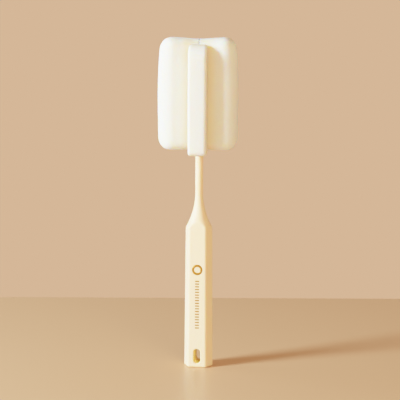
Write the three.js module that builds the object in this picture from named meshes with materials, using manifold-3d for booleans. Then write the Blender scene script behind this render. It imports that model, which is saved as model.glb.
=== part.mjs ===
// Cup brush: a hexagonal moulded handle that is turned down to a slim round neck,
// and a soft three-lobed foam head held on a hidden T-shaped spine.
// Millimetres, +Z up. The origin is the centre of the handle's base, and the handle's
// front facet, with the hanging slot, faces -Y.
import * as THREE from 'three';
import { mergeVertices } from 'three/addons/utils/BufferGeometryUtils.js';
import Module from 'manifold-3d';

// Fit between separate pieces, and how far a cutting solid runs past what it cuts
const GAP = 0.3;
const OVERCUT = 1;

// Handle: a hexagon, wider at front and back than at its sides, that tapers upwards
const BASE_HALF_WIDTH = 11.6;
const BASE_HALF_DEPTH = 8.3;
const FRONT_FACET_WIDTH = 14.4;
const SHOULDER_Z = 111;
const SHOULDER_SCALE = 0.93;
const LONG_EDGE_RADIUS = 2.2;
const BASE_FILLET = 1.4;

// Neck: round, met by a cove that scallops the six facets like a sharpened pencil
const NECK_RADIUS = 3;
const NECK_START_Z = 139;
const COVE_RADIUS = 55;

// Spigot: the end of the neck inside the head, with a snap bead
const SPIGOT_TOP_Z = 206;
const BEAD_Z = 198;
const BEAD_HEIGHT = 0.45;
const BEAD_HALF_LENGTH = 1.2;
const TIP_CHAMFER = 0.8;

// Hanging slot, straight through from the front facet to the back one
const SLOT_WIDTH = 5.4;
const SLOT_HEIGHT = 11.5;
const SLOT_CENTRE_Z = 9.2;
const SLOT_CHAMFER = 0.5;

// Head: overall foam block, pressed on a few degrees off the handle's front facet
const HEAD_BOTTOM = 172.4;
const HEAD_TOP = 260;
const HEAD_TURN = THREE.MathUtils.degToRad(3.6);

// Side lobes: fat pads with oval outer ends, which thin towards the crease where they meet
// and lean in towards the top. The left one is cut a little longer than the right one.
const LEFT_REACH = 32.6;
const RIGHT_REACH = 30.4;
const LOBE_HALF_THICKNESS = 12.5;
const LOBE_END_LENGTH = 8.8;
const LOBE_WAIST = 6;
const LOBE_PINCH_REACH = 6;
const LOBE_LAST_ANGLE = THREE.MathUtils.degToRad(86);
const LOBE_THINNING = THREE.MathUtils.degToRad(17);
const LOBE_SLOPE_ANGLE = Math.atan(LOBE_END_LENGTH / LOBE_HALF_THICKNESS * Math.tan(LOBE_THINNING));
const LOBE_DIP_REACH = 14;
const LOBE_TOP_DIP = 1.2;
const LOBE_CORNER = 9;
const LOBE_EDGE_RADIUS = 8;
const LOBE_BARREL = 0.05;
const LOBE_TOP_LEAN = 0.07;
const LOBE_BOTTOM_LEAN = 0.02;

// Front fin: a flat-ended block set a little lower than the lobes
const FIN_REACH = 22.6;
const FIN_HALF_THICKNESS = 7;
const FIN_DROP_TOP = 5.2;
const FIN_DROP_BOTTOM = 2.8;
const FIN_TOP_CORNER = 11;
const FIN_BOTTOM_CORNER = 4;
const FIN_EDGE_RADIUS = 1.5;
const FIN_BARREL = 0.02;

// Spine: a socketed post with three thin wings buried in the foam
const POST_RADIUS = 4.2;
const POST_BOTTOM = HEAD_BOTTOM + 1.5;
const POST_TOP = HEAD_TOP - 14;
const WING_THICKNESS = 1.6;
const WING_BOTTOM = HEAD_BOTTOM + 12;
const WING_CORNER = 6;
const SIDE_WING_REACH = 21;
const FRONT_WING_REACH = 15;

// Most of a pad's half thickness that its rounded edges may take up
const FULLEST_ROUND = 0.95;

// Facets
const ROUND_SEGMENTS = 48;
const COVE_STEPS = 18;
const ARC_STEPS = 6;
const END_STEPS = 9;
const PINCH_STEPS = 6;
const SIDE_STEPS = 8;

const CREAM = 0xf6ead2;
const WHITE_FOAM = 0xf7f5ea;
const SPINE_WHITE = 0xeeeeea;

const wasm = await Module();
wasm.setup();

function toSolid(geometry) {
  geometry.deleteAttribute('normal');
  geometry.deleteAttribute('uv');
  const merged = mergeVertices(geometry, 1e-4);
  const corners = merged.index.array;
  const triVerts = [];
  for (let i = 0; i < corners.length; i += 3) {
    const [a, b, c] = corners.slice(i, i + 3);
    if (a !== b && b !== c && c !== a) triVerts.push(a, b, c);
  }
  return new wasm.Manifold(new wasm.Mesh({
    numProp: 3,
    vertProperties: new Float32Array(merged.attributes.position.array),
    triVerts: new Uint32Array(triVerts),
  }));
}

function toGeometry(solid) {
  const { vertProperties, triVerts } = solid.getMesh();
  const geometry = new THREE.BufferGeometry();
  geometry.setAttribute('position', new THREE.BufferAttribute(vertProperties, 3));
  geometry.setIndex(new THREE.BufferAttribute(triVerts, 1));
  geometry.computeVertexNormals();
  return geometry;
}

// A closed skin through rings of equal count, each counter-clockwise seen from the last ring
function loft(rings) {
  const count = rings[0].length;
  const points = rings.flat();
  const index = [];
  for (let r = 0; r + 1 < rings.length; r += 1) {
    for (let i = 0; i < count; i += 1) {
      const a = r * count + i;
      const b = r * count + (i + 1) % count;
      index.push(a, b, b + count, a, b + count, a + count);
    }
  }
  const centre = (ring) => ring
    .reduce((sum, point) => sum.add(point), new THREE.Vector3())
    .divideScalar(count);
  const first = points.push(centre(rings[0])) - 1;
  const last = points.push(centre(rings.at(-1))) - 1;
  const lastRing = (rings.length - 1) * count;
  for (let i = 0; i < count; i += 1) {
    const next = (i + 1) % count;
    index.push(first, next, i);
    index.push(last, lastRing + i, lastRing + next);
  }
  const geometry = new THREE.BufferGeometry().setFromPoints(points);
  geometry.setIndex(index);
  return toSolid(geometry);
}

// A solid of revolution about Z, from [radius, z] pairs that run upwards from axis to axis
function turned(profile) {
  const points = profile.map(([radius, z]) => new THREE.Vector2(radius, z));
  return toSolid(new THREE.LatheGeometry(points, ROUND_SEGMENTS).rotateX(Math.PI / 2));
}

// How far a quarter-round of the given radius falls away, `past` its start
function roundDrop(past, radius) {
  const along = THREE.MathUtils.clamp(past, 0, radius);
  return radius - Math.sqrt(radius * radius - along * along);
}

function taperAt(z) {
  return THREE.MathUtils.lerp(1, SHOULDER_SCALE, z / SHOULDER_Z);
}

// The hexagon's corners at height z, counter-clockwise from the right-hand one
function hexagonCorners(z) {
  const side = BASE_HALF_WIDTH * taperAt(z);
  const front = FRONT_FACET_WIDTH / 2 * taperAt(z);
  const depth = BASE_HALF_DEPTH * taperAt(z);
  const corners = [
    [side, 0],
    [front, depth],
    [-front, depth],
    [-side, 0],
    [-front, -depth],
    [front, -depth],
  ];
  return corners.map(([x, y]) => new THREE.Vector2(x, y));
}

// One ring of the hexagon with its corners rounded, drawn in by `inset`
function hexagonRing(inset, z) {
  const corners = hexagonCorners(z);
  const ring = [];
  corners.forEach((corner, i) => {
    const into = corner.clone().sub(corners.at(i - 1)).normalize();
    const outOf = corners[(i + 1) % corners.length].clone().sub(corner).normalize();
    const turn = into.angleTo(outOf);
    const inwards = outOf.clone().sub(into).setLength(LONG_EDGE_RADIUS / Math.cos(turn / 2));
    const centre = corner.clone().add(inwards);
    const firstAngle = into.angle() - Math.PI / 2;
    for (let step = 0; step <= ARC_STEPS; step += 1) {
      const angle = firstAngle + turn * step / ARC_STEPS;
      const radius = LONG_EDGE_RADIUS - inset;
      ring.push(new THREE.Vector3(
        centre.x + radius * Math.cos(angle),
        centre.y + radius * Math.sin(angle),
        z,
      ));
    }
  });
  return ring;
}

// The hexagonal bar that the handle is turned from, with its base edge rounded over
function hexagonBar() {
  const rings = [];
  for (let step = 0; step <= ARC_STEPS; step += 1) {
    const angle = step / ARC_STEPS * Math.PI / 2;
    const inset = BASE_FILLET * (1 - Math.sin(angle));
    rings.push(hexagonRing(inset, BASE_FILLET * (1 - Math.cos(angle))));
  }
  rings.push(hexagonRing(0, SPIGOT_TOP_Z));
  return loft(rings);
}

// The round envelope of the shoulder, neck and spigot
function turnedEnvelope() {
  const clear = BASE_HALF_WIDTH * 2;
  const coveCentre = NECK_RADIUS + COVE_RADIUS;
  const coveAngle = Math.acos((coveCentre - clear) / COVE_RADIUS);
  const profile = [[0, -OVERCUT], [clear, -OVERCUT]];
  for (let step = 0; step <= COVE_STEPS; step += 1) {
    const angle = coveAngle * (1 - step / COVE_STEPS);
    profile.push([
      coveCentre - COVE_RADIUS * Math.cos(angle),
      NECK_START_Z - COVE_RADIUS * Math.sin(angle),
    ]);
  }
  profile.push(
    [NECK_RADIUS, BEAD_Z - BEAD_HALF_LENGTH],
    [NECK_RADIUS + BEAD_HEIGHT, BEAD_Z],
    [NECK_RADIUS, BEAD_Z + BEAD_HALF_LENGTH],
    [NECK_RADIUS, SPIGOT_TOP_Z - TIP_CHAMFER],
    [NECK_RADIUS - TIP_CHAMFER, SPIGOT_TOP_Z],
    [0, SPIGOT_TOP_Z],
  );
  return turned(profile);
}

// An upright obround, round ended at top and bottom, grown outwards by `grow`, at depth y
function slotRing(grow, y) {
  const radius = SLOT_WIDTH / 2 + grow;
  const straight = (SLOT_HEIGHT - SLOT_WIDTH) / 2;
  const steps = ARC_STEPS * 2;
  const ring = [];
  for (const end of [1, -1]) {
    for (let step = 0; step <= steps; step += 1) {
      const angle = step / steps * Math.PI + (end < 0 ? Math.PI : 0);
      ring.push(new THREE.Vector3(
        radius * Math.cos(angle),
        y,
        SLOT_CENTRE_Z + end * straight + radius * Math.sin(angle),
      ));
    }
  }
  return ring;
}

// The slot's cutter, front to back, flaring at both mouths to chamfer the rims
function slotCutter() {
  const face = BASE_HALF_DEPTH * taperAt(SLOT_CENTRE_Z);
  const flare = SLOT_CHAMFER * 2;
  return loft([
    slotRing(flare, face + SLOT_CHAMFER),
    slotRing(0, face - SLOT_CHAMFER),
    slotRing(0, SLOT_CHAMFER - face),
    slotRing(flare, -face - SLOT_CHAMFER),
  ]);
}

function handleSolid() {
  return hexagonBar().intersect(turnedEnvelope()).subtract(slotCutter());
}

// A rounded upright rectangle whose long sides swell by `barrel`; place(w, z) sets it in space
function padRing(halfWidth, bottom, top, radius, barrel, place) {
  const middle = (top + bottom) / 2;
  const halfHeight = (top - bottom) / 2;
  const round = Math.min(radius, halfWidth * FULLEST_ROUND);
  const outline = [];
  const corners = [[1, -1, -90], [1, 1, 0], [-1, 1, 90], [-1, -1, 180]];
  corners.forEach(([across, up, start]) => {
    const w = across * (halfWidth - round);
    const z = up * (halfHeight - round);
    for (let step = 0; step <= ARC_STEPS; step += 1) {
      const angle = THREE.MathUtils.degToRad(start + 90 * step / ARC_STEPS);
      outline.push([w + round * Math.cos(angle), z + round * Math.sin(angle)]);
    }
    if (across === up) return;
    for (let step = 1; step < SIDE_STEPS; step += 1) {
      const climb = step / SIDE_STEPS * 2 - 1;
      outline.push([across * halfWidth, -up * climb * (halfHeight - round)]);
    }
  });
  return outline.map(([w, z]) => {
    const swell = 1 - barrel * (z / halfHeight) ** 2;
    return place(w * swell, middle + z);
  });
}

// Half the thickness of a lobe at x: its oval end, then a straight slope down to the pinch
function lobeHalfThickness(x, reach) {
  const outwards = (x - reach) / LOBE_END_LENGTH + 1;
  const slopeStart = -Math.sin(LOBE_SLOPE_ANGLE);
  if (outwards > slopeStart) return LOBE_HALF_THICKNESS * Math.sqrt(1 - outwards ** 2);
  const startThickness = LOBE_HALF_THICKNESS * Math.cos(LOBE_SLOPE_ANGLE);
  const inwards = LOBE_END_LENGTH * (slopeStart - outwards);
  const sloped = startThickness - inwards * Math.tan(LOBE_THINNING);
  const toCrease = THREE.MathUtils.clamp(1 - x / LOBE_PINCH_REACH, 0, 1);
  const opened = Math.sqrt(1 - toCrease * toCrease);
  return THREE.MathUtils.lerp(LOBE_WAIST, sloped, opened);
}

// Stations along a lobe, close together where it curves: the crease, then the oval outer end
function lobeStations(reach) {
  const endCentre = reach - LOBE_END_LENGTH;
  const stations = [];
  for (let step = 0; step <= PINCH_STEPS; step += 1) {
    const angle = step / PINCH_STEPS * Math.PI / 2;
    stations.push(LOBE_PINCH_REACH * (1 - Math.cos(angle)));
  }
  for (let step = 0; step <= END_STEPS; step += 1) {
    const angle = THREE.MathUtils.lerp(-LOBE_SLOPE_ANGLE, LOBE_LAST_ANGLE, step / END_STEPS);
    stations.push(endCentre + LOBE_END_LENGTH * Math.sin(angle));
  }
  return stations;
}

// A side lobe, pointing along +X (side 1) or -X (side -1), `grow` thicker all round
function lobeBlank(side, grow) {
  const reach = side > 0 ? RIGHT_REACH : LEFT_REACH;
  const middle = (HEAD_TOP + HEAD_BOTTOM) / 2;
  const rings = lobeStations(reach).map((x) => {
    const corner = roundDrop(x - (reach - LOBE_CORNER), LOBE_CORNER);
    const dip = LOBE_TOP_DIP * (1 - THREE.MathUtils.smoothstep(x, 0, LOBE_DIP_REACH));
    const place = (w, z) => {
      const lean = z > middle ? LOBE_TOP_LEAN : LOBE_BOTTOM_LEAN;
      const drawnIn = lean * ((z - middle) / (HEAD_TOP - middle)) ** 2;
      return new THREE.Vector3(side * (x * (1 - drawnIn) + GAP / 2 - grow), side * w, z);
    };
    return padRing(
      lobeHalfThickness(x, reach) + grow,
      HEAD_BOTTOM + corner - grow,
      HEAD_TOP - corner - dip + grow,
      LOBE_EDGE_RADIUS,
      LOBE_BARREL,
      place,
    );
  });
  return loft(rings);
}

// The front fin before it is fitted between the lobes
function finBlank() {
  const cornerStart = FIN_REACH - FIN_TOP_CORNER;
  const stations = [LOBE_WAIST / 2, cornerStart];
  for (let step = 1; step <= END_STEPS; step += 1) {
    const angle = step / END_STEPS * Math.PI / 2;
    stations.push(cornerStart + (FIN_TOP_CORNER - FIN_EDGE_RADIUS) * Math.sin(angle));
  }
  for (let step = 1; step <= ARC_STEPS; step += 1) {
    const angle = step / ARC_STEPS * Math.PI / 2;
    stations.push(FIN_REACH - FIN_EDGE_RADIUS * (1 - Math.sin(angle)));
  }
  const rings = stations.map((reach) => {
    const topCorner = roundDrop(reach - cornerStart, FIN_TOP_CORNER);
    const bottomCorner = roundDrop(reach - (FIN_REACH - FIN_BOTTOM_CORNER), FIN_BOTTOM_CORNER);
    const edge = roundDrop(reach - (FIN_REACH - FIN_EDGE_RADIUS), FIN_EDGE_RADIUS);
    const place = (w, z) => new THREE.Vector3(w, -reach, z);
    return padRing(
      FIN_HALF_THICKNESS - edge,
      HEAD_BOTTOM - FIN_DROP_BOTTOM + bottomCorner,
      HEAD_TOP - FIN_DROP_TOP - topCorner,
      FIN_EDGE_RADIUS,
      FIN_BARREL,
      place,
    );
  });
  return loft(rings);
}

// A thin upright plate in the XZ plane with rounded corners, `grow` larger all round
function plate(from, to, thickness, grow) {
  const left = from - grow;
  const right = to + grow;
  const low = WING_BOTTOM - grow;
  const high = POST_TOP + grow;
  const shape = new THREE.Shape();
  shape.moveTo(left + WING_CORNER, low);
  shape.lineTo(right - WING_CORNER, low);
  shape.absarc(right - WING_CORNER, low + WING_CORNER, WING_CORNER, -Math.PI / 2, 0);
  shape.absarc(right - WING_CORNER, high - WING_CORNER, WING_CORNER, 0, Math.PI / 2);
  shape.absarc(left + WING_CORNER, high - WING_CORNER, WING_CORNER, Math.PI / 2, Math.PI);
  shape.absarc(left + WING_CORNER, low + WING_CORNER, WING_CORNER, Math.PI, Math.PI * 1.5);
  const depth = thickness + 2 * grow;
  const geometry = new THREE.ExtrudeGeometry(shape, {
    depth,
    bevelEnabled: false,
    curveSegments: ARC_STEPS,
  });
  return geometry.translate(0, 0, -depth / 2).rotateX(Math.PI / 2);
}

// The spine's outside: post, side wings and front wing, `grow` larger to cut its seat
function spineBody(grow) {
  const post = turned([
    [0, POST_BOTTOM - grow],
    [POST_RADIUS + grow, POST_BOTTOM - grow],
    [POST_RADIUS + grow, POST_TOP + grow],
    [0, POST_TOP + grow],
  ]);
  const sideWings = plate(-SIDE_WING_REACH, SIDE_WING_REACH, WING_THICKNESS, grow);
  const frontWing = plate(-POST_RADIUS / 2, FRONT_WING_REACH, WING_THICKNESS, grow);
  frontWing.rotateZ(-Math.PI / 2);
  return post.add(toSolid(sideWings)).add(toSolid(frontWing));
}

// The seat that the spine leaves in the foam, open below where the neck comes in
function spineSeat() {
  const low = HEAD_BOTTOM - FIN_DROP_BOTTOM - OVERCUT;
  const high = POST_BOTTOM + OVERCUT;
  const neckHole = turned([[0, low], [POST_RADIUS + GAP, low], [POST_RADIUS + GAP, high], [0, high]]);
  return spineBody(GAP).add(neckHole);
}

// The spine's blind socket, grooved for the snap bead
function spigotSocket() {
  const bore = NECK_RADIUS + GAP;
  const grooveLength = BEAD_HALF_LENGTH + GAP;
  return turned([
    [0, POST_BOTTOM - OVERCUT],
    [bore, POST_BOTTOM - OVERCUT],
    [bore, BEAD_Z - grooveLength],
    [bore + BEAD_HEIGHT, BEAD_Z],
    [bore, BEAD_Z + grooveLength],
    [bore, SPIGOT_TOP_Z + GAP],
    [0, SPIGOT_TOP_Z + GAP],
  ]);
}

function spineSolid() {
  return spineBody(0).subtract(spigotSocket());
}

function sideLobeSolid(side) {
  return lobeBlank(side, 0).subtract(spineSeat());
}

// The fin's root follows the crease between the two lobes
function frontFinSolid() {
  return finBlank()
    .subtract(lobeBlank(1, GAP))
    .subtract(lobeBlank(-1, GAP))
    .subtract(spineSeat());
}

function piece(name, solid, color, roughness) {
  const material = new THREE.MeshStandardMaterial({ color, roughness, metalness: 0 });
  const mesh = new THREE.Mesh(toGeometry(solid), material);
  mesh.name = name;
  return mesh;
}

const head = new THREE.Group();
head.rotation.z = HEAD_TURN;
head.add(piece('head_spine', spineSolid(), SPINE_WHITE, 0.5));
head.add(piece('left_foam_lobe', sideLobeSolid(-1), WHITE_FOAM, 0.95));
head.add(piece('right_foam_lobe', sideLobeSolid(1), WHITE_FOAM, 0.95));
head.add(piece('front_foam_fin', frontFinSolid(), WHITE_FOAM, 0.95));

const brush = new THREE.Group();
brush.add(piece('handle', handleSolid(), CREAM, 0.42));
brush.add(head);

export default brush;
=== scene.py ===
import math

import bmesh
import bpy
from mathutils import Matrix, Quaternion, Vector


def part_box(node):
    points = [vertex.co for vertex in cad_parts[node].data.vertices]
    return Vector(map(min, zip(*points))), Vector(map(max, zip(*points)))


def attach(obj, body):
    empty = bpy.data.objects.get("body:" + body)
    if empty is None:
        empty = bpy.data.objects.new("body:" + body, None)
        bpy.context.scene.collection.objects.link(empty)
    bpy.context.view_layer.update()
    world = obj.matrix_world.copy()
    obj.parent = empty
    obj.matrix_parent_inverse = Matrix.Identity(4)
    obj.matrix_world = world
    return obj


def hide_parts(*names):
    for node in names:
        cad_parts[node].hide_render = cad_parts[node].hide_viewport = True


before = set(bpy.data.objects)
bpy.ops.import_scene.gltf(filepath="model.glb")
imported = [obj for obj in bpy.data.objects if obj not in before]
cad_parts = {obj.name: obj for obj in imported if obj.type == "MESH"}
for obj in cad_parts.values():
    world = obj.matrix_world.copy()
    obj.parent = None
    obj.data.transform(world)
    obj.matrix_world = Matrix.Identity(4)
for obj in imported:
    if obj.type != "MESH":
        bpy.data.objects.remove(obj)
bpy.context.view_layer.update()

MM = 0.001

# Handle: the forms that its solid has, drawn finer
HANDLE_TOP_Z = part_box("handle")[1].z
BASE_HALF_WIDTH = 11.6 * MM
BASE_HALF_DEPTH = 8.3 * MM
FRONT_FACET_WIDTH = 14.4 * MM
LONG_EDGE_RADIUS = 2.2 * MM
BASE_FILLET = 1.4 * MM
SHOULDER_Z = 111 * MM
SHOULDER_SCALE = 0.93
SHOULDER_SOFTNESS = 0.7 * MM
COVE_RADIUS = 55 * MM
COVE_REACH = COVE_RADIUS * 0.8
NECK_RADIUS = 3 * MM
NECK_START_Z = 139 * MM
BEAD_Z = 198 * MM
BEAD_HEIGHT = 0.45 * MM
BEAD_HALF_LENGTH = 1.2 * MM
SHARP_EDGE = math.radians(50)

# Rings of the handle's skin: the upper end of each stretch above the base fillet, and its rings
FILLET_RINGS = 8
HANDLE_STRETCHES = (
    (20 * MM, 24),
    (104 * MM, 28),
    (120 * MM, 48),
    (NECK_START_Z, 24),
    (BEAD_Z - BEAD_HALF_LENGTH, 12),
    (BEAD_Z + BEAD_HALF_LENGTH, 4),
)
ARC_STEPS = 10
FACET_STEPS = 30

# Hanging slot through the handle
SLOT_WIDTH = 5.4 * MM
SLOT_HEIGHT = 11.5 * MM
SLOT_CENTRE_Z = 9.2 * MM
SLOT_END_STEPS = 16
SLOT_RIM_RADIUS = 0.7 * MM
SLOT_RIM_TURN = math.radians(80)
SLOT_RIM_STEPS = 5
SLOT_FLARE = SLOT_RIM_RADIUS * 1.6
SLOT_GLOW_MARGIN = 0.3 * MM

# Foam: node, new piece, smoothing passes, side of the seam, share of its depth that a lobe loses at
# its outer end. The lobes are softer edged than the fin and stay square at the seam in the middle of
# the head, where they are bonded together.
FOAM_PIECES = (
    ("left_foam_lobe", "left_foam_pad", 30, -1, 0.21),
    ("right_foam_lobe", "right_foam_pad", 30, 1, 0.11),
    ("front_foam_fin", "front_foam_block", 1, 0, 0),
)
WELD_DISTANCE = 0.005 * MM
FOAM_VOXEL = 0.9 * MM
SMOOTH_FACTOR = 0.5
HEAD_TURN = math.radians(3.6)
OVAL_LENGTH = 12 * MM

# Open cells: their size and depth, the distances from a cell's middle at which its floor begins to
# rise and meets the surface, in cells, and the soft lumps under them
CELL_SIZE = 1.3 * MM
CELL_DEPTH = 0.14 * MM
CELL_WALL = (0.15, 0.5)
LUMP_SIZE = 9 * MM
LUMP_HEIGHT = 0.25 * MM

# Seam: within its reach the lobes are shifted towards it. At the top and along the back they are
# drawn right up to it, and pushed outwards so that no notch is left.
SEAM_REACH = 4 * MM
SEAM_SHIFT = 0.13 * MM
SEAM_TOP = 254 * MM
SEAM_TOP_RAMP = 6 * MM
SEAM_BACK = 5.2 * MM
SEAM_BACK_RAMP = 2 * MM
SEAM_LIFT = 0.8 * MM

# Painted warm shade beside the fin, for the crease's shadow and the light bounced warm within it:
# where it is nothing and where it is full, sideways from the seam and forwards from the handle's
# axis, at its front and at its back
CREASE_SIDE = (16 * MM, 8 * MM)
CREASE_FRONT = (20 * MM, 12 * MM)
CREASE_BACK = (2 * MM, 5 * MM)

# Foil on the front facet: a ring above a column of dashes
DASH_COUNT = 18
DASH_LOW_Z = 32 * MM
DASH_PITCH = 2.2 * MM
DASH_WIDTH = 3.2 * MM
DASH_HEIGHT = 0.9 * MM
RING_Z = 78.5 * MM
RING_RADIUS = 3.3 * MM
RING_LINE = 1.7 * MM
RING_POINTS = 64
FOIL_THICKNESS = 0.08 * MM
FOIL_OFFSET = FOIL_THICKNESS / 8

# Camera
VIEW_AZIMUTH = math.radians(9.5)
VIEW_ELEVATION = math.radians(8.5)
VIEW_FIELD = math.radians(13.75)
VIEW_DISTANCE = 1.3
VIEW_ROLL = math.radians(0.25)
VIEW_CENTRE = Vector((0.0007, 0, 0.1328))

# Lamps: name, azimuth and elevation in degrees, disc size, power, colour
LAMP_DISTANCE = 1.6
LAMPS = (
    ("window_key", -54.5, 19, 0.48, 72, (0.67, 0.90, 1.0)),
    ("warm_fill", 25, 15, 0.8, 17.5, (0.97, 0.84, 0.57)),
    ("side_card", -100, 14, 0.9, 6, (0.82, 0.95, 1.0)),
    ("top_card", 120, 60, 0.9, 3, (0.9, 0.97, 1.0)),
)

# Room, and the film that it is seen through
WALL_COLOUR = (1.09, 0.642, 0.377)
CEILING_COLOUR = (0.31, 0.12, 0.0)
WALL_TOP = 0.15
CEILING_EDGE = 0.5
FLOOR_BACK_EDGE = 0.259
FLOOR_REACH = 3.0
FILM_WHITE = 4.0
FILM_STOPS = (0.02, 0.05, 0.1, 0.16, 0.24, 0.34, 0.46, 0.62, 0.8)
COMBINED_CURVE = 3


def clamp(value, low, high):
    return max(low, min(high, value))


def add_object(name, data):
    thing = bpy.data.objects.new(name, data)
    bpy.context.scene.collection.objects.link(thing)
    return thing


def add_mesh(name, vertices, faces):
    mesh = bpy.data.meshes.new(name)
    mesh.from_pydata(vertices, [], faces)
    mesh.validate()
    return add_object(name, mesh)


def edit_mesh(mesh, edit):
    """Runs one edit on a mesh through bmesh."""
    work = bmesh.new()
    work.from_mesh(mesh)
    edit(work)
    work.to_mesh(mesh)
    work.free()


def settle(piece):
    """Turns an object with its modifiers into a plain mesh."""
    bpy.context.view_layer.update()
    seen = piece.evaluated_get(bpy.context.evaluated_depsgraph_get())
    mesh = bpy.data.meshes.new_from_object(seen)
    mesh.name = piece.name
    piece.modifiers.clear()
    piece.data = mesh


def loft(name, rings):
    """A closed skin through rings of equal count, with a flat fan at each end."""
    count = len(rings[0])
    vertices = [point for ring in rings for point in ring]
    faces = []
    for row in range(len(rings) - 1):
        for i in range(count):
            a = row * count + i
            b = row * count + (i + 1) % count
            faces.append((a, b, b + count, a + count))
    for ring, start in ((rings[0], 0), (rings[-1], len(rings) * count - count)):
        centre = len(vertices)
        vertices.append(sum(ring, Vector()) / count)
        for i in range(count):
            a, b = start + i, start + (i + 1) % count
            faces.append((centre, b, a) if start == 0 else (centre, a, b))
    piece = add_mesh(name, vertices, faces)
    edit_mesh(piece.data, lambda work: bmesh.ops.recalc_face_normals(work, faces=work.faces))
    return piece


def taper_at(z):
    return 1 + (SHOULDER_SCALE - 1) * z / SHOULDER_Z


def facet_depth(z):
    return BASE_HALF_DEPTH * taper_at(z)


def hexagon_corners(z):
    side = BASE_HALF_WIDTH * taper_at(z)
    front = FRONT_FACET_WIDTH / 2 * taper_at(z)
    depth = facet_depth(z)
    corners = (side, 0), (front, depth), (-front, depth), (-side, 0), (-front, -depth), (front, -depth)
    return [Vector(corner) for corner in corners]


def hexagon_outline(inset, z):
    """The hexagon with rounded corners, drawn in by `inset`, in even steps along each facet."""
    corners = hexagon_corners(z)
    arcs = []
    for i, corner in enumerate(corners):
        into = (corner - corners[i - 1]).normalized()
        out_of = (corners[(i + 1) % len(corners)] - corner).normalized()
        turn = into.angle(out_of)
        inwards = (out_of - into).normalized() * LONG_EDGE_RADIUS / math.cos(turn / 2)
        first = math.atan2(into.y, into.x) - math.pi / 2
        arc = []
        for step in range(ARC_STEPS + 1):
            angle = first + turn * step / ARC_STEPS
            outwards = Vector((math.cos(angle), math.sin(angle)))
            arc.append(corner + inwards + outwards * (LONG_EDGE_RADIUS - inset))
        arcs.append(arc)
    outline = []
    for arc, next_arc in zip(arcs, arcs[1:] + arcs[:1]):
        outline += arc
        outline += [arc[-1].lerp(next_arc[0], step / FACET_STEPS) for step in range(1, FACET_STEPS)]
    return outline


def turned_radius(z):
    """The cove of the shoulder, the neck and the snap bead on its hidden end."""
    if z < NECK_START_Z:
        below = min(NECK_START_Z - z, COVE_REACH)
        return NECK_RADIUS + COVE_RADIUS - math.sqrt(COVE_RADIUS**2 - below**2)
    bead = clamp(1 - abs(z - BEAD_Z) / BEAD_HALF_LENGTH, 0, 1)
    return NECK_RADIUS + BEAD_HEIGHT * bead


def soft_min(a, b, softness):
    mix = clamp(0.5 + 0.5 * (b - a) / softness, 0, 1)
    return b + (a - b) * mix - softness * mix * (1 - mix)


def handle_ring(z):
    into_fillet = clamp(BASE_FILLET - z, 0, BASE_FILLET)
    inset = BASE_FILLET - math.sqrt(BASE_FILLET**2 - into_fillet**2)
    ring = []
    for point in hexagon_outline(inset, z):
        radius = soft_min(point.length, turned_radius(z), SHOULDER_SOFTNESS)
        ring.append((point.normalized() * radius).to_3d() + Vector((0, 0, z)))
    return ring


def handle_stations():
    """Heights of the handle's rings, close together where it curves."""
    quarter = math.pi / 2
    stations = [BASE_FILLET * (1 - math.cos(i / FILLET_RINGS * quarter)) for i in range(FILLET_RINGS)]
    start = BASE_FILLET
    for end, count in HANDLE_STRETCHES:
        stations += [start + (end - start) * step / count for step in range(count)]
        start = end
    return stations + [start, HANDLE_TOP_Z]


def slot_ring(grow, y):
    radius = SLOT_WIDTH / 2 + grow
    straight = (SLOT_HEIGHT - SLOT_WIDTH) / 2
    ring = []
    for end, start in ((1, 0), (-1, math.pi)):
        for step in range(SLOT_END_STEPS + 1):
            angle = start + step / SLOT_END_STEPS * math.pi
            z = SLOT_CENTRE_Z + end * straight + radius * math.sin(angle)
            ring.append(Vector((radius * math.cos(angle), y, z)))
    return ring


def slot_cutter():
    """The hanging slot, with its rims rolled over at both faces."""
    face = facet_depth(SLOT_CENTRE_Z)
    rim = []
    for step in range(SLOT_RIM_STEPS + 1):
        angle = step / SLOT_RIM_STEPS * SLOT_RIM_TURN
        depth = face - SLOT_RIM_RADIUS * (1 - math.sin(angle))
        rim.append((SLOT_RIM_RADIUS * (1 - math.cos(angle)), depth))
    rim.append((SLOT_FLARE, face + SLOT_RIM_RADIUS))
    back = [slot_ring(grow, depth) for grow, depth in reversed(rim)]
    front = [slot_ring(grow, -depth) for grow, depth in rim]
    return loft("slot_cutter", back + front)


def make_handle(material):
    handle = loft("handle_moulding", [handle_ring(z) for z in handle_stations()])
    cutter = slot_cutter()
    cut = handle.modifiers.new("hanging slot", "BOOLEAN")
    cut.operation = "DIFFERENCE"
    cut.solver = "EXACT"
    cut.object = cutter
    settle(handle)
    bpy.data.objects.remove(cutter)
    for face in handle.data.polygons:
        face.use_smooth = True
    handle.data.set_sharp_from_angle(angle=SHARP_EDGE)
    handle.data.materials.clear()
    handle.data.materials.append(material)
    return handle


def feed(tree, node, inputs):
    """Sets a node's inputs, each to a constant or from another node's output."""
    for key, value in inputs.items():
        if isinstance(value, bpy.types.NodeSocket):
            tree.links.new(value, node.inputs[key])
        else:
            node.inputs[key].default_value = value


def add_node(tree, kind, inputs, **settings):
    """A new node. Its settings come first, because some of them decide which inputs it has."""
    node = tree.nodes.new(kind)
    for name, value in settings.items():
        setattr(node, name, value)
    feed(tree, node, inputs)
    return node


def calculate(tree, operation, *operands):
    node = add_node(tree, "ShaderNodeMath", dict(enumerate(operands)), operation=operation)
    return node.outputs[0]


def product(tree, factors):
    result = factors[0]
    for factor in factors[1:]:
        result = calculate(tree, "MULTIPLY", result, factor)
    return result


def map_range(tree, value, source=(0, 1), target=(0, 1), interpolation="LINEAR"):
    inputs = {
        "Value": value,
        "From Min": source[0],
        "From Max": source[1],
        "To Min": target[0],
        "To Max": target[1],
    }
    node = add_node(tree, "ShaderNodeMapRange", inputs, interpolation_type=interpolation)
    return node.outputs["Result"]


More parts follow.
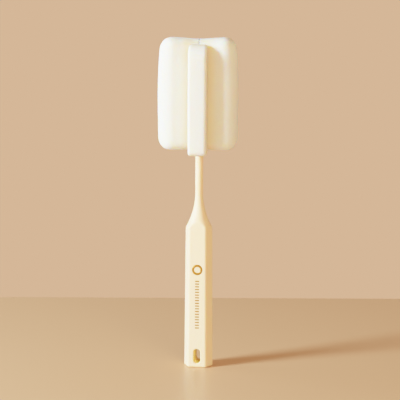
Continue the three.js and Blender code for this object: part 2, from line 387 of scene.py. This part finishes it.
def mix_colours(tree, factor, first, second):
    inputs = {"Factor": factor, "A": first, "B": second}
    return add_node(tree, "ShaderNodeMix", inputs, data_type="RGBA").outputs["Result"]


def split(tree, vector):
    return add_node(tree, "ShaderNodeSeparateXYZ", {"Vector": vector}).outputs


def new_group(name, kind, inputs, outputs):
    """A node group with sockets of the given kinds, and what its inputs give inside it."""
    group = bpy.data.node_groups.new(name, kind)
    for in_out, sockets in (("INPUT", inputs), ("OUTPUT", outputs)):
        for socket, socket_kind in sockets.items():
            group.interface.new_socket(socket, in_out=in_out, socket_type="NodeSocket" + socket_kind)
    return group, group.nodes.new("NodeGroupInput").outputs


def finish_tree(tree, geometry, material):
    realize = add_node(tree, "GeometryNodeRealizeInstances", {"Geometry": geometry})
    inputs = {"Geometry": realize.outputs["Geometry"], "Material": material}
    paint = add_node(tree, "GeometryNodeSetMaterial", inputs)
    add_node(tree, "NodeGroupOutput", {"Geometry": paint.outputs["Geometry"]})


def apply_tree(piece, tree, values):
    """Runs a geometry nodes tree on an object, with its inputs given by name."""
    modifier = piece.modifiers.new(tree.name, "NODES")
    modifier.node_group = tree
    for item in tree.interface.items_tree:
        if item.in_out == "INPUT" and item.name in values:
            modifier[item.identifier] = values[item.name]
    settle(piece)


def open_cell_tree():
    """Geometry nodes that refine a foam body, swell it unevenly and sink its open cells."""
    inputs = {
        "Geometry": "Geometry",
        "Cell Size": "Float",
        "Cell Depth": "Float",
        "Lump Size": "Float",
        "Lump Height": "Float",
        "Seed": "Float",
        "Foam": "Material",
    }
    tree, given = new_group("open_cell_foam", "GeometryNodeTree", inputs, {"Geometry": "Geometry"})
    body = {"Mesh": given["Geometry"], "Level": 1}
    refine = add_node(tree, "GeometryNodeSubdivisionSurface", body)

    cell_scale = calculate(tree, "DIVIDE", 1.0, given["Cell Size"])
    cell_inputs = {"Scale": cell_scale, "W": given["Seed"]}
    cells = add_node(tree, "ShaderNodeTexVoronoi", cell_inputs, voronoi_dimensions="4D")
    pit = map_range(tree, cells.outputs["Distance"], CELL_WALL, (-1, 0), "SMOOTHSTEP")
    sunk = calculate(tree, "MULTIPLY", pit, given["Cell Depth"])

    lump_scale = calculate(tree, "DIVIDE", 1.0, given["Lump Size"])
    lump_inputs = {"Scale": lump_scale, "W": given["Seed"], "Detail": 2}
    lumps = add_node(tree, "ShaderNodeTexNoise", lump_inputs, noise_dimensions="4D")
    centred = calculate(tree, "SUBTRACT", lumps.outputs["Fac"], 0.5)
    swollen = calculate(tree, "MULTIPLY", centred, given["Lump Height"])

    normal = add_node(tree, "GeometryNodeInputNormal", {}).outputs["Normal"]
    along_normal = {0: normal, "Scale": calculate(tree, "ADD", sunk, swollen)}
    push = add_node(tree, "ShaderNodeVectorMath", along_normal, operation="SCALE")
    pushed = {"Geometry": refine.outputs["Mesh"], "Offset": push.outputs["Vector"]}
    move = add_node(tree, "GeometryNodeSetPosition", pushed)
    smooth = add_node(tree, "GeometryNodeSetShadeSmooth", {"Geometry": move.outputs["Geometry"]})
    finish_tree(tree, smooth.outputs["Geometry"], given["Foam"])
    return tree


def close_seam(foam, side):
    """Draws a lobe up to the seam, and returns a group that keeps its smoothing away from there."""
    soft = foam.vertex_groups.new(name="soft")
    across = Vector((math.cos(HEAD_TURN), math.sin(HEAD_TURN), 0)) * side
    backwards = Vector((-math.sin(HEAD_TURN), math.cos(HEAD_TURN), 0))
    upwards = Vector((0, 0, 1))
    for vertex in foam.data.vertices:
        from_seam = max(vertex.co.dot(across), 0)
        away = min(from_seam / SEAM_REACH, 1) if side else 1
        soft.add([vertex.index], away, "REPLACE")
        at_top = clamp((vertex.co.z - SEAM_TOP) / SEAM_TOP_RAMP + 1, 0, 1)
        at_back = clamp((vertex.co.dot(backwards) - SEAM_BACK) / SEAM_BACK_RAMP + 1, 0, 1)
        shut = max(at_top, at_back)
        vertex.co -= across * (SEAM_SHIFT + (from_seam - SEAM_SHIFT) * shut) * (1 - away)
        vertex.co += (upwards * at_top + backwards * at_back) * SEAM_LIFT * (1 - away) ** 2
    return soft


def ease_oval(foam, side, ease):
    """Rounds the front of a lobe's outer end off over more of its length."""
    outwards = Vector((math.cos(HEAD_TURN), math.sin(HEAD_TURN), 0)) * side
    forwards = Vector((math.sin(HEAD_TURN), -math.cos(HEAD_TURN), 0))
    reach = max(vertex.co.dot(outwards) for vertex in foam.data.vertices)
    for vertex in foam.data.vertices:
        along = max(1 - (reach - vertex.co.dot(outwards)) / OVAL_LENGTH, 0)
        depth = max(vertex.co.dot(forwards), 0)
        vertex.co -= forwards * depth * ease * along * (2 - along)


def foam_body(node, name, smoothing, side, ease):
    """A foam piece grown from its solid, with even quads and soft edges."""
    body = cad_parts[node].data.copy()
    body.name = name
    body.materials.clear()
    edit_mesh(body, lambda work: bmesh.ops.remove_doubles(work, verts=work.verts, dist=WELD_DISTANCE))
    foam = add_object(name, body)

    even = foam.modifiers.new("even quads", "REMESH")
    even.mode = "VOXEL"
    even.voxel_size = FOAM_VOXEL
    settle(foam)
    soft = close_seam(foam, side)
    if side:
        ease_oval(foam, side, ease)
    soften = foam.modifiers.new("soft edges", "SMOOTH")
    soften.vertex_group = soft.name
    soften.factor = SMOOTH_FACTOR
    soften.iterations = smoothing
    settle(foam)
    return foam


def sink_cells(foam, tree, material, seed):
    values = {
        "Cell Size": CELL_SIZE,
        "Cell Depth": CELL_DEPTH,
        "Lump Size": LUMP_SIZE,
        "Lump Height": LUMP_HEIGHT,
        "Seed": float(seed),
        "Foam": material,
    }
    apply_tree(foam, tree, values)


def foil_tree():
    """Geometry nodes that lay a column of thin bars up a facet, and a flat ring above them."""
    inputs = {
        "Count": "Int",
        "Start": "Vector",
        "Step": "Vector",
        "Bar": "Vector",
        "Ring Centre": "Vector",
        "Ring Radius": "Float",
        "Ring Line": "Float",
        "Thickness": "Float",
        "Foil": "Material",
    }
    tree, given = new_group("foil_marks", "GeometryNodeTree", inputs, {"Geometry": "Geometry"})
    line = {"Count": given["Count"], "Start Location": given["Start"], "Offset": given["Step"]}
    column = add_node(tree, "GeometryNodeMeshLine", line, mode="OFFSET")
    bar = add_node(tree, "GeometryNodeMeshCube", {"Size": given["Bar"]})
    bars = {"Points": column.outputs["Mesh"], "Instance": bar.outputs["Mesh"]}
    place = add_node(tree, "GeometryNodeInstanceOnPoints", bars)

    round_line = {"Radius": given["Ring Radius"], "Resolution": RING_POINTS}
    circle = add_node(tree, "GeometryNodeCurvePrimitiveCircle", round_line)
    flat = {"Width": given["Ring Line"], "Height": given["Thickness"]}
    section = add_node(tree, "GeometryNodeCurvePrimitiveQuadrilateral", flat)
    sweep = {"Curve": circle.outputs["Curve"], "Profile Curve": section.outputs["Curve"]}
    ring = add_node(tree, "GeometryNodeCurveToMesh", sweep)
    stand = {
        "Geometry": ring.outputs["Mesh"],
        "Translation": given["Ring Centre"],
        "Rotation": (math.pi / 2, 0, 0),
    }
    upright = add_node(tree, "GeometryNodeTransform", stand)

    marks = add_node(tree, "GeometryNodeJoinGeometry", {"Geometry": place.outputs["Instances"]})
    feed(tree, marks, {"Geometry": upright.outputs["Geometry"]})
    finish_tree(tree, marks.outputs["Geometry"], given["Foil"])
    return tree


def on_facet(z):
    """A point on the middle of the front facet, a little proud of it."""
    return 0, -facet_depth(z) - FOIL_OFFSET, z


def make_foil(material):
    foil = add_mesh("foil_marks", [], [])
    low = on_facet(DASH_LOW_Z)
    following = on_facet(DASH_LOW_Z + DASH_PITCH)
    values = {
        "Count": DASH_COUNT,
        "Start": low,
        "Step": Vector(following) - Vector(low),
        "Bar": (DASH_WIDTH, FOIL_THICKNESS, DASH_HEIGHT),
        "Ring Centre": on_facet(RING_Z),
        "Ring Radius": RING_RADIUS,
        "Ring Line": RING_LINE,
        "Thickness": FOIL_THICKNESS,
        "Foil": material,
    }
    apply_tree(foil, foil_tree(), values)
    return foil


def cloudy_colour_group():
    """Two close colours mixed by soft clouds, for surfaces that are never quite even."""
    inputs = {"Vector": "Vector", "Cloud Size": "Float", "Light Colour": "Color", "Dark Colour": "Color"}
    outputs = {"Colour": "Color", "Cloud": "Float"}
    group, given = new_group("cloudy_colour", "ShaderNodeTree", inputs, outputs)
    scale = calculate(group, "DIVIDE", 1.0, given["Cloud Size"])
    cloud_inputs = {"Vector": given["Vector"], "Scale": scale, "Detail": 3}
    cloud = add_node(group, "ShaderNodeTexNoise", cloud_inputs).outputs["Fac"]
    colour = mix_colours(group, cloud, given["Light Colour"], given["Dark Colour"])
    add_node(group, "NodeGroupOutput", {"Colour": colour, "Cloud": cloud})
    return group


def cloudy_material(name, clouds, size, light, dark):
    """A new material: its tree, its shader, its coordinates and the cloudy colour to give it."""
    material = bpy.data.materials.new(name)
    material.use_nodes = True
    tree = material.node_tree
    shader = tree.nodes["Principled BSDF"]
    where = add_node(tree, "ShaderNodeTexCoord", {}).outputs["Object"]
    inputs = {
        "Vector": where,
        "Cloud Size": size,
        "Light Colour": (*light, 1),
        "Dark Colour": (*dark, 1),
    }
    colour = add_node(tree, "ShaderNodeGroup", inputs, node_tree=clouds).outputs
    return material, tree, shader, where, colour


def bump(tree, height, strength, distance):
    inputs = {"Height": height, "Strength": strength, "Distance": distance}
    return add_node(tree, "ShaderNodeBump", inputs).outputs["Normal"]


def painted_slot_glow_mask(tree, where):
    """1 on the walls of the hanging slot, which get a painted warm glow for the light that gets in and
    goes warm, else 0.
    """
    parts = split(tree, where)
    within = []
    for distance, reach in (
        (parts["X"], SLOT_WIDTH / 2 + SLOT_GLOW_MARGIN),
        (parts["Y"], facet_depth(SLOT_CENTRE_Z) - SLOT_RIM_RADIUS),
        (calculate(tree, "SUBTRACT", parts["Z"], SLOT_CENTRE_Z), SLOT_HEIGHT / 2 + SLOT_GLOW_MARGIN),
    ):
        within.append(calculate(tree, "LESS_THAN", calculate(tree, "ABSOLUTE", distance), reach))
    return product(tree, within)


def painted_crease_shade_mask(tree, where):
    """1 deep beside the fin, where painted warm shade stands for the crease's shadow, fading to 0 around
    it.
    """
    inputs = {"Vector": where, "Angle": -HEAD_TURN}
    turned = add_node(tree, "ShaderNodeVectorRotate", inputs, rotation_type="Z_AXIS")
    parts = split(tree, turned.outputs["Vector"])
    sideways = calculate(tree, "ABSOLUTE", parts["X"])
    forwards = calculate(tree, "MULTIPLY", parts["Y"], -1.0)
    near = []
    for distance, fade in ((sideways, CREASE_SIDE), (forwards, CREASE_FRONT), (forwards, CREASE_BACK)):
        near.append(map_range(tree, distance, fade, interpolation="SMOOTHSTEP"))
    return product(tree, near)


def cream_plastic(clouds):
    """Satin moulded plastic: fine spark-eroded grain and a little depth under the surface."""
    material, tree, shader, where, colour = cloudy_material(
        "cream_satin_plastic", clouds, size=0.03, light=(0.99, 0.75, 0.50), dark=(0.97, 0.72, 0.47)
    )
    # Painted warm glow on the slot's walls, standing in for light that shines through and between them
    painted_slot_glow_colour = (1.0, 0.77, 0.32, 1)
    grain = add_node(tree, "ShaderNodeTexNoise", {"Vector": where, "Scale": 2600, "Detail": 2})
    feed(tree, shader, {
        "Base Color": mix_colours(tree, painted_slot_glow_mask(tree, where), colour["Colour"], painted_slot_glow_colour),
        "Roughness": map_range(tree, colour["Cloud"], target=(0.48, 0.6)),
        "Normal": bump(tree, grain.outputs["Fac"], strength=0.12, distance=0.05 * MM),
        "Subsurface Weight": 0.3,
        "Subsurface Radius": (1.0, 0.5, 0.2),
        "Subsurface Scale": 5 * MM,
    })
    return material


def white_foam(clouds):
    """Fine white sponge: pinholes too small to model, with painted shade deep in the cells."""
    material, tree, shader, where, colour = cloudy_material(
        "white_open_cell_foam", clouds, size=0.006, light=(0.86, 0.85, 0.79), dark=(0.84, 0.82, 0.755)
    )
    # Painted shade in the pinholes, darkest at each cell's middle
    painted_pinhole_shade_colour = (0.79, 0.76, 0.68, 1)
    # Painted warm shade deep beside the fin, for the crease's shadow and the light bounced within it
    painted_crease_shade_colour = (0.89, 0.76, 0.57, 1)
    pores = add_node(tree, "ShaderNodeTexVoronoi", {"Vector": where, "Scale": 1900})
    rim = map_range(tree, pores.outputs["Distance"], source=(0.1, 0.45))
    pored = mix_colours(tree, rim, painted_pinhole_shade_colour, colour["Colour"])
    feed(tree, shader, {
        "Base Color": mix_colours(tree, painted_crease_shade_mask(tree, where), pored, painted_crease_shade_colour),
        "Normal": bump(tree, rim, strength=0.35, distance=0.15 * MM),
        "Roughness": 0.95,
        "Specular IOR Level": 0.15,
        "Subsurface Weight": 0.9,
        "Subsurface Radius": (1.0, 0.7, 0.4),
        "Subsurface Scale": 8 * MM,
        "Sheen Weight": 0.1,
    })
    return material


def gold_foil(clouds):
    """Thin hot-pressed foil, slightly uneven."""
    material, tree, shader, _, colour = cloudy_material(
        "gold_foil", clouds, size=0.001, light=(0.50, 0.21, 0.002), dark=(0.40, 0.155, 0.001)
    )
    feed(tree, shader, {
        "Base Color": colour["Colour"],
        "Roughness": map_range(tree, colour["Cloud"], target=(0.25, 0.45)),
        "Metallic": 0.3,
    })
    return material


def spine_plastic(clouds):
    """Plain white moulding, out of sight inside the foam."""
    material, tree, shader, _, colour = cloudy_material(
        "white_spine_plastic", clouds, size=0.01, light=(0.87, 0.87, 0.84), dark=(0.83, 0.83, 0.80)
    )
    feed(tree, shader, {"Base Color": colour["Colour"], "Roughness": 0.5})
    return material


def floor_paint(clouds):
    material, tree, shader, _, colour = cloudy_material(
        "pale_tan_table", clouds, size=0.4, light=(0.75, 0.445, 0.25), dark=(0.715, 0.422, 0.236)
    )
    feed(tree, shader, {"Base Color": colour["Colour"], "Roughness": 0.38})
    return material


def direction(azimuth, elevation):
    """Unit vector towards a viewer or light; azimuth 0 is in front, at -Y."""
    flat = math.cos(elevation)
    return Vector((
        math.sin(azimuth) * flat,
        -math.cos(azimuth) * flat,
        math.sin(elevation),
    ))


def aim(thing, place, target):
    thing.location = place
    thing.rotation_euler = (place - target).to_track_quat("Z", "Y").to_euler()


def make_floor(clouds):
    """A table top that ends in a straight edge behind the brush, square to the view."""
    towards_viewer = direction(VIEW_AZIMUTH, 0)
    across = Vector((-towards_viewer.y, towards_viewer.x, 0)) * FLOOR_REACH
    back = -towards_viewer * FLOOR_BACK_EDGE
    front = towards_viewer * FLOOR_REACH
    corners = [front - across, front + across, back + across, back - across]
    floor = add_mesh("table_top", corners, [(0, 1, 2, 3)])
    floor.data.materials.append(floor_paint(clouds))


def make_room():
    """A world with a tan wall all round, which fades upwards into a dim warm ceiling."""
    world = bpy.data.worlds.new("warm_room")
    bpy.context.scene.world = world
    world.use_nodes = True
    tree = world.node_tree
    where = add_node(tree, "ShaderNodeTexCoord", {}).outputs["Generated"]
    height = split(tree, where)["Z"]
    upwards = map_range(tree, height, (WALL_TOP, CEILING_EDGE), interpolation="SMOOTHSTEP")
    room = mix_colours(tree, upwards, (*WALL_COLOUR, 1), (*CEILING_COLOUR, 1))
    feed(tree, tree.nodes["Background"], {"Color": room})


def add_lamp(name, azimuth, elevation, size, power, colour):
    lamp = bpy.data.lights.new(name, "AREA")
    lamp.shape = "DISK"
    lamp.size = size
    lamp.energy = power
    lamp.color = colour
    towards_lamp = direction(math.radians(azimuth), math.radians(elevation))
    aim(add_object(name, lamp), VIEW_CENTRE + towards_lamp * LAMP_DISTANCE, VIEW_CENTRE)


def make_camera():
    lens = bpy.data.cameras.new("photo_view")
    lens.sensor_fit = "HORIZONTAL"
    lens.angle = VIEW_FIELD
    camera = add_object("photo_view", lens)
    aim(camera, VIEW_CENTRE + direction(VIEW_AZIMUTH, VIEW_ELEVATION) * VIEW_DISTANCE, VIEW_CENTRE)
    roll = Quaternion((0, 0, 1), VIEW_ROLL)
    camera.rotation_euler = (camera.rotation_euler.to_quaternion() @ roll).to_euler()
    bpy.context.scene.camera = camera


def set_film():
    """A soft film response, in which bright tones roll off instead of clipping."""
    settings = bpy.context.scene.view_settings
    settings.view_transform = "Standard"
    settings.use_curve_mapping = True
    film = settings.curve_mapping
    film.white_level = (FILM_WHITE, FILM_WHITE, FILM_WHITE)
    response = film.curves[COMBINED_CURVE]
    for stop in FILM_STOPS:
        response.points.new(stop, 1 - math.exp(-FILM_WHITE * stop))
    film.update()


def dress(clouds):
    handle = make_handle(cream_plastic(clouds))
    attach(handle, "root")
    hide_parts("handle")

    foam_material = white_foam(clouds)
    cells = open_cell_tree()
    for seed, (node, name, smoothing, side, ease) in enumerate(FOAM_PIECES, 1):
        foam = foam_body(node, name, smoothing, side, ease)
        sink_cells(foam, cells, foam_material, seed)
        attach(foam, "root")
        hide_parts(node)

    foil = make_foil(gold_foil(clouds))
    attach(foil, "root")

    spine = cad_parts["head_spine"]
    spine.data.materials.clear()
    spine.data.materials.append(spine_plastic(clouds))


clouds = cloudy_colour_group()
dress(clouds)
make_floor(clouds)
make_room()
for lamp in LAMPS:
    add_lamp(*lamp)
make_camera()
set_film()
